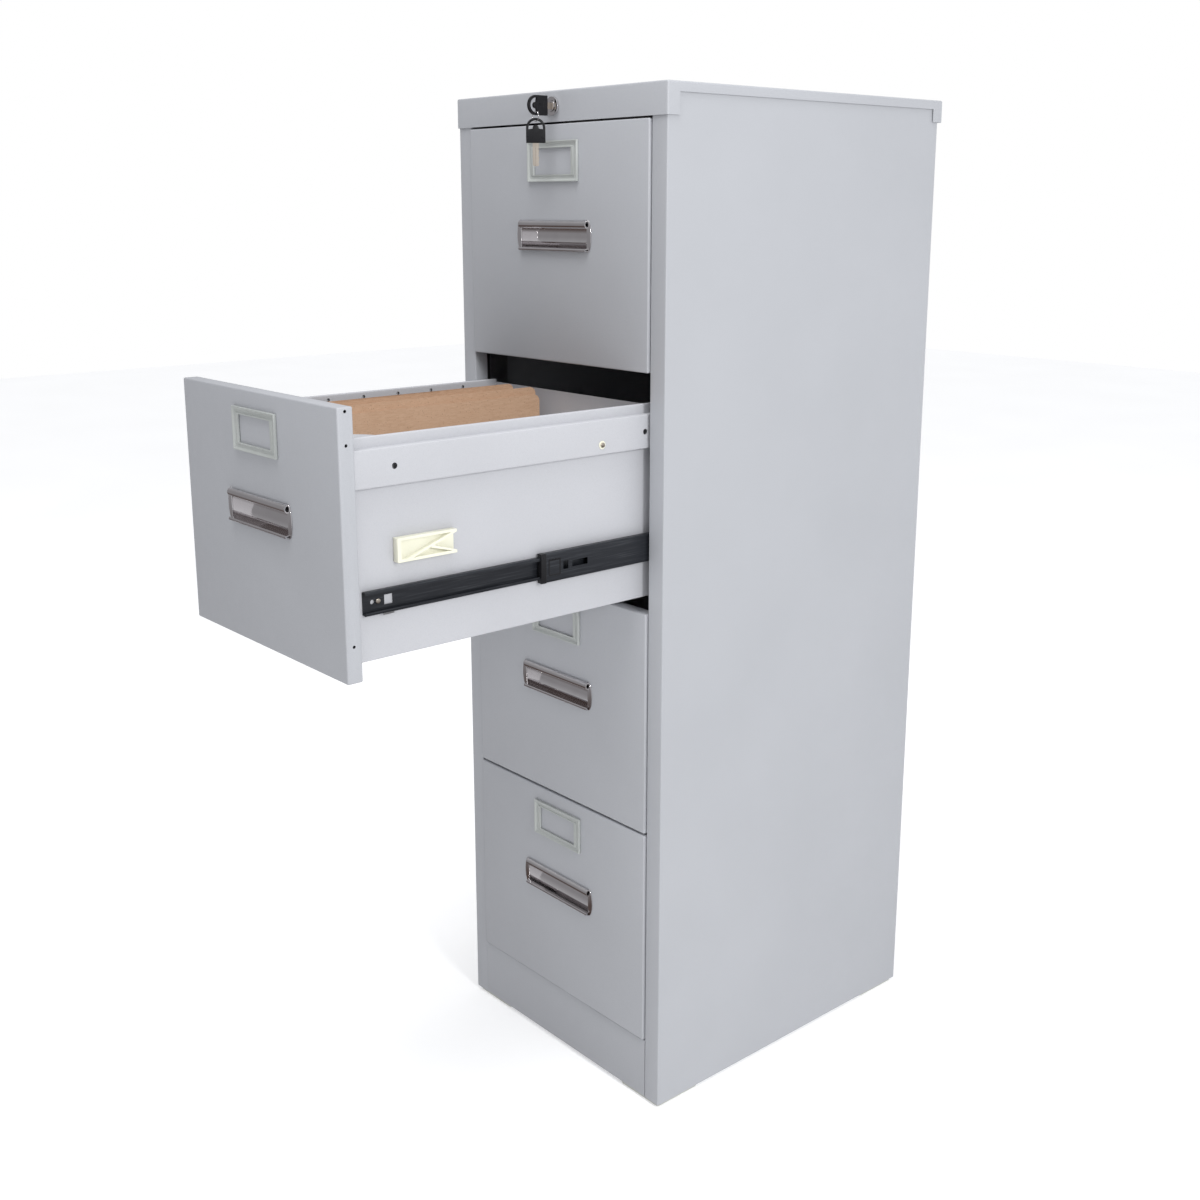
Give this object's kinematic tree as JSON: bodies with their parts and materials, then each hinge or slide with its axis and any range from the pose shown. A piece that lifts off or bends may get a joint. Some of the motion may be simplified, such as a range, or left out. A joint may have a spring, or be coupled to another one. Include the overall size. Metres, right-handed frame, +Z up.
{
  "type": "filing cabinet",
  "caption": "Tall narrow sheet-steel filing cabinet with stacked full-extension drawers, recessed pulls, label frames and a keyed gang lock; one drawer stands open.",
  "frame": {"origin": "on the floor, under the middle of the box that the cabinet fills with its second drawer standing open", "axes": "+Z up, drawers slide out along -Y, and +X is on the right of someone who faces the drawers"},
  "size_m": [0.414, 0.9568, 1.33],
  "materials": {
    "grey_paint": "light grey powder coat, fine texture, satin",
    "tray_paint": "pale grey powder coat, satin",
    "foot_plastic": "light grey moulded plastic, matte",
    "cream_plastic": "cream moulded plastic, satin",
    "label_plastic": "pale greenish grey moulded plastic, satin",
    "black_plastic": "black moulded plastic, satin",
    "chrome": "bright chrome plating",
    "nickel": "dull nickel plating",
    "black_steel": "black passivated steel, satin",
    "zinc_steel": "zinc plated steel",
    "kraft_card": "brown kraft card, matte"
  },
  "bodies": {
    "case": {"back_panel": "grey_paint", "base_panel": "grey_paint", "foot_front_left": "foot_plastic", "foot_front_right": "foot_plastic", "foot_rear_left": "foot_plastic", "foot_rear_right": "foot_plastic", "left_side_panel": "grey_paint", "plinth_panel": "grey_paint", "right_side_panel": "grey_paint", "top_panel": "grey_paint", "left_slide_rack": "zinc_steel", "right_slide_rack": "zinc_steel", "lock_barrel": "chrome"},
    "lock_key": {"lock_plug": "chrome", "key_blade": "nickel", "key_bow": "black_plastic"},
    "key_ring": {"key_ring": "nickel"},
    "spare_key": {"spare_key_bow": "black_plastic", "spare_key_blade": "nickel"},
    "lock_link": {"lock_link": "zinc_steel"},
    "interlock_bar": {"interlock_bar": "zinc_steel"},
    "drawer_1": {"drawer_1_front": "grey_paint", "drawer_1_tray": "tray_paint", "handle_1": "chrome", "label_holder_1": "label_plastic", "interlock_catch_1": "cream_plastic", "slide_inner_left_1": "black_steel", "slide_inner_right_1": "black_steel"},
    "runners_1": {"slide_middle_left_1": "black_steel", "slide_middle_right_1": "black_steel"},
    "drawer_2": {"drawer_2_front": "grey_paint", "drawer_2_tray": "tray_paint", "handle_2": "chrome", "label_holder_2": "label_plastic", "interlock_catch_2": "cream_plastic", "slide_inner_left_2": "black_steel", "slide_inner_right_2": "black_steel", "folder_1": "kraft_card", "folder_2": "kraft_card"},
    "runners_2": {"slide_middle_left_2": "black_steel", "slide_middle_right_2": "black_steel"},
    "drawer_3": {"drawer_3_front": "grey_paint", "drawer_3_tray": "tray_paint", "handle_3": "chrome", "label_holder_3": "label_plastic", "interlock_catch_3": "cream_plastic", "slide_inner_left_3": "black_steel", "slide_inner_right_3": "black_steel"},
    "runners_3": {"slide_middle_left_3": "black_steel", "slide_middle_right_3": "black_steel"},
    "drawer_4": {"drawer_4_front": "grey_paint", "drawer_4_tray": "tray_paint", "handle_4": "chrome", "label_holder_4": "label_plastic", "interlock_catch_4": "cream_plastic", "slide_inner_left_4": "black_steel", "slide_inner_right_4": "black_steel"},
    "runners_4": {"slide_middle_left_4": "black_steel", "slide_middle_right_4": "black_steel"}
  },
  "joints": [
    {"name": "drawer_1_slide", "type": "slide", "parent": "case", "child": "drawer_1", "axis": [0, -1, 0], "range_m": [0, 0.45], "deforming": ["spare_key_bow", "spare_key_blade"]},
    {"name": "runners_1_slide", "type": "slide", "parent": "case", "child": "runners_1", "axis": [0, -1, 0], "range_m": [0, 0.225]},
    {"name": "drawer_2_slide", "type": "slide", "parent": "case", "child": "drawer_2", "axis": [0, -1, 0], "range_m": [-0.43, 0.02]},
    {"name": "runners_2_slide", "type": "slide", "parent": "case", "child": "runners_2", "axis": [0, -1, 0], "range_m": [-0.215, 0.01]},
    {"name": "drawer_3_slide", "type": "slide", "parent": "case", "child": "drawer_3", "axis": [0, -1, 0], "range_m": [0, 0.45]},
    {"name": "runners_3_slide", "type": "slide", "parent": "case", "child": "runners_3", "axis": [0, -1, 0], "range_m": [0, 0.225]},
    {"name": "drawer_4_slide", "type": "slide", "parent": "case", "child": "drawer_4", "axis": [0, -1, 0], "range_m": [0, 0.45]},
    {"name": "runners_4_slide", "type": "slide", "parent": "case", "child": "runners_4", "axis": [0, -1, 0], "range_m": [0, 0.225]},
    {"name": "lock_turn", "type": "hinge", "parent": "case", "child": "lock_key", "pos_m": [0, -0.03856, 1.311], "axis": [0, -1, 0], "range_deg": [0, 90]},
    {"name": "key_ring_hang", "type": "hinge", "parent": "lock_key", "child": "key_ring", "pos_m": [0, -0.06936, 1.3005], "axis": [0, -1, 0], "range_deg": [-90, 0]},
    {"name": "spare_key_swing", "type": "hinge", "parent": "key_ring", "child": "spare_key", "pos_m": [0, -0.06936, 1.2916], "axis": [-1, 0, 0], "range_deg": [-10, 60]},
    {"name": "lock_link_slide", "type": "slide", "parent": "case", "child": "lock_link", "axis": [1, 0, 0], "range_m": [0, 0.02263]},
    {"name": "interlock_bar_slide", "type": "slide", "parent": "case", "child": "interlock_bar", "axis": [0, 0, 1], "range_m": [0, 0.01132]}
  ],
  "couplings": [
    {"joint": "runners_1_slide", "follows": "drawer_1_slide", "ratio": 0.5},
    {"joint": "runners_2_slide", "follows": "drawer_2_slide", "ratio": 0.5},
    {"joint": "runners_3_slide", "follows": "drawer_3_slide", "ratio": 0.5},
    {"joint": "runners_4_slide", "follows": "drawer_4_slide", "ratio": 0.5},
    {"joint": "key_ring_hang", "follows": "lock_turn", "ratio": -1},
    {"joint": "lock_link_slide", "follows": "lock_turn", "m_per_rad": 0.014405},
    {"joint": "interlock_bar_slide", "follows": "lock_turn", "m_per_rad": 0.0072025}
  ]
}
